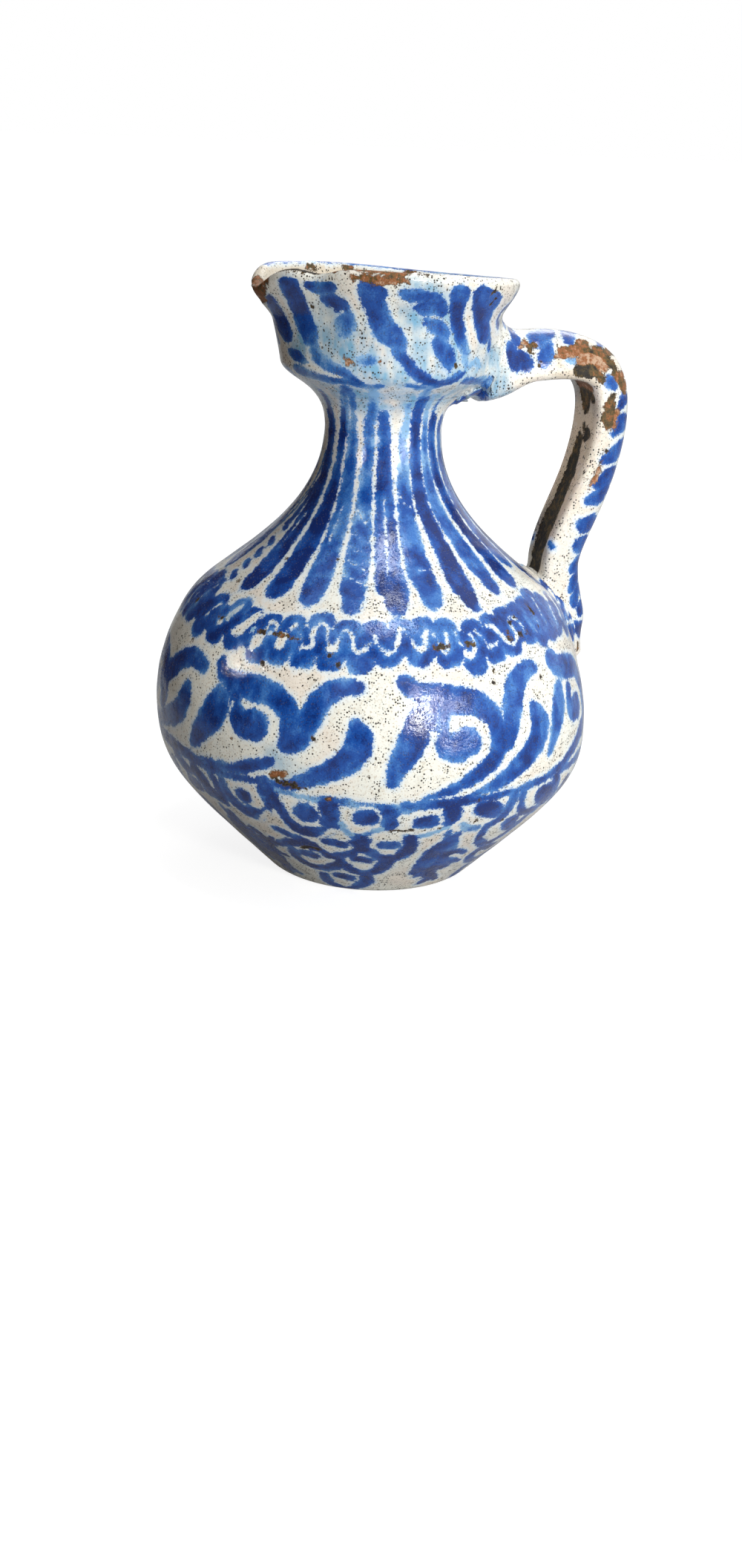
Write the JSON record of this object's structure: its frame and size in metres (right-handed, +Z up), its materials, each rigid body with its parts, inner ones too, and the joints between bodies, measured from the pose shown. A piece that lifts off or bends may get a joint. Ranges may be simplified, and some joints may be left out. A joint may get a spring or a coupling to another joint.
{
  "type": "pouring jug",
  "caption": "Tin-glazed earthenware jug painted in blue: round belly, waisted neck, flared collar with a pinched beak, and a strap handle from collar to shoulder.",
  "frame": {"origin": "centre of the flat base, on the axis of the thrown body", "axes": "+Z up along the axis of the body, +X towards the handle, -X towards the beak, +Y to complete a right-handed frame"},
  "size_m": [0.2067, 0.192, 0.2673],
  "materials": {
    "body_glaze": "glossy tin glaze over clay, painted in cobalt blue",
    "collar_glaze": "glossy tin glaze with pooled pale blue wash",
    "handle_glaze": "glossy tin glaze, worn to the clay at the bend",
    "luting_glaze": "glossy tin glaze over smoothed clay"
  },
  "bodies": {
    "root": {"thrown_body": "body_glaze", "mouth_collar": "collar_glaze", "strap_handle": "handle_glaze", "upper_handle_luting": "luting_glaze", "lower_handle_luting": "luting_glaze"}
  },
  "joints": []
}
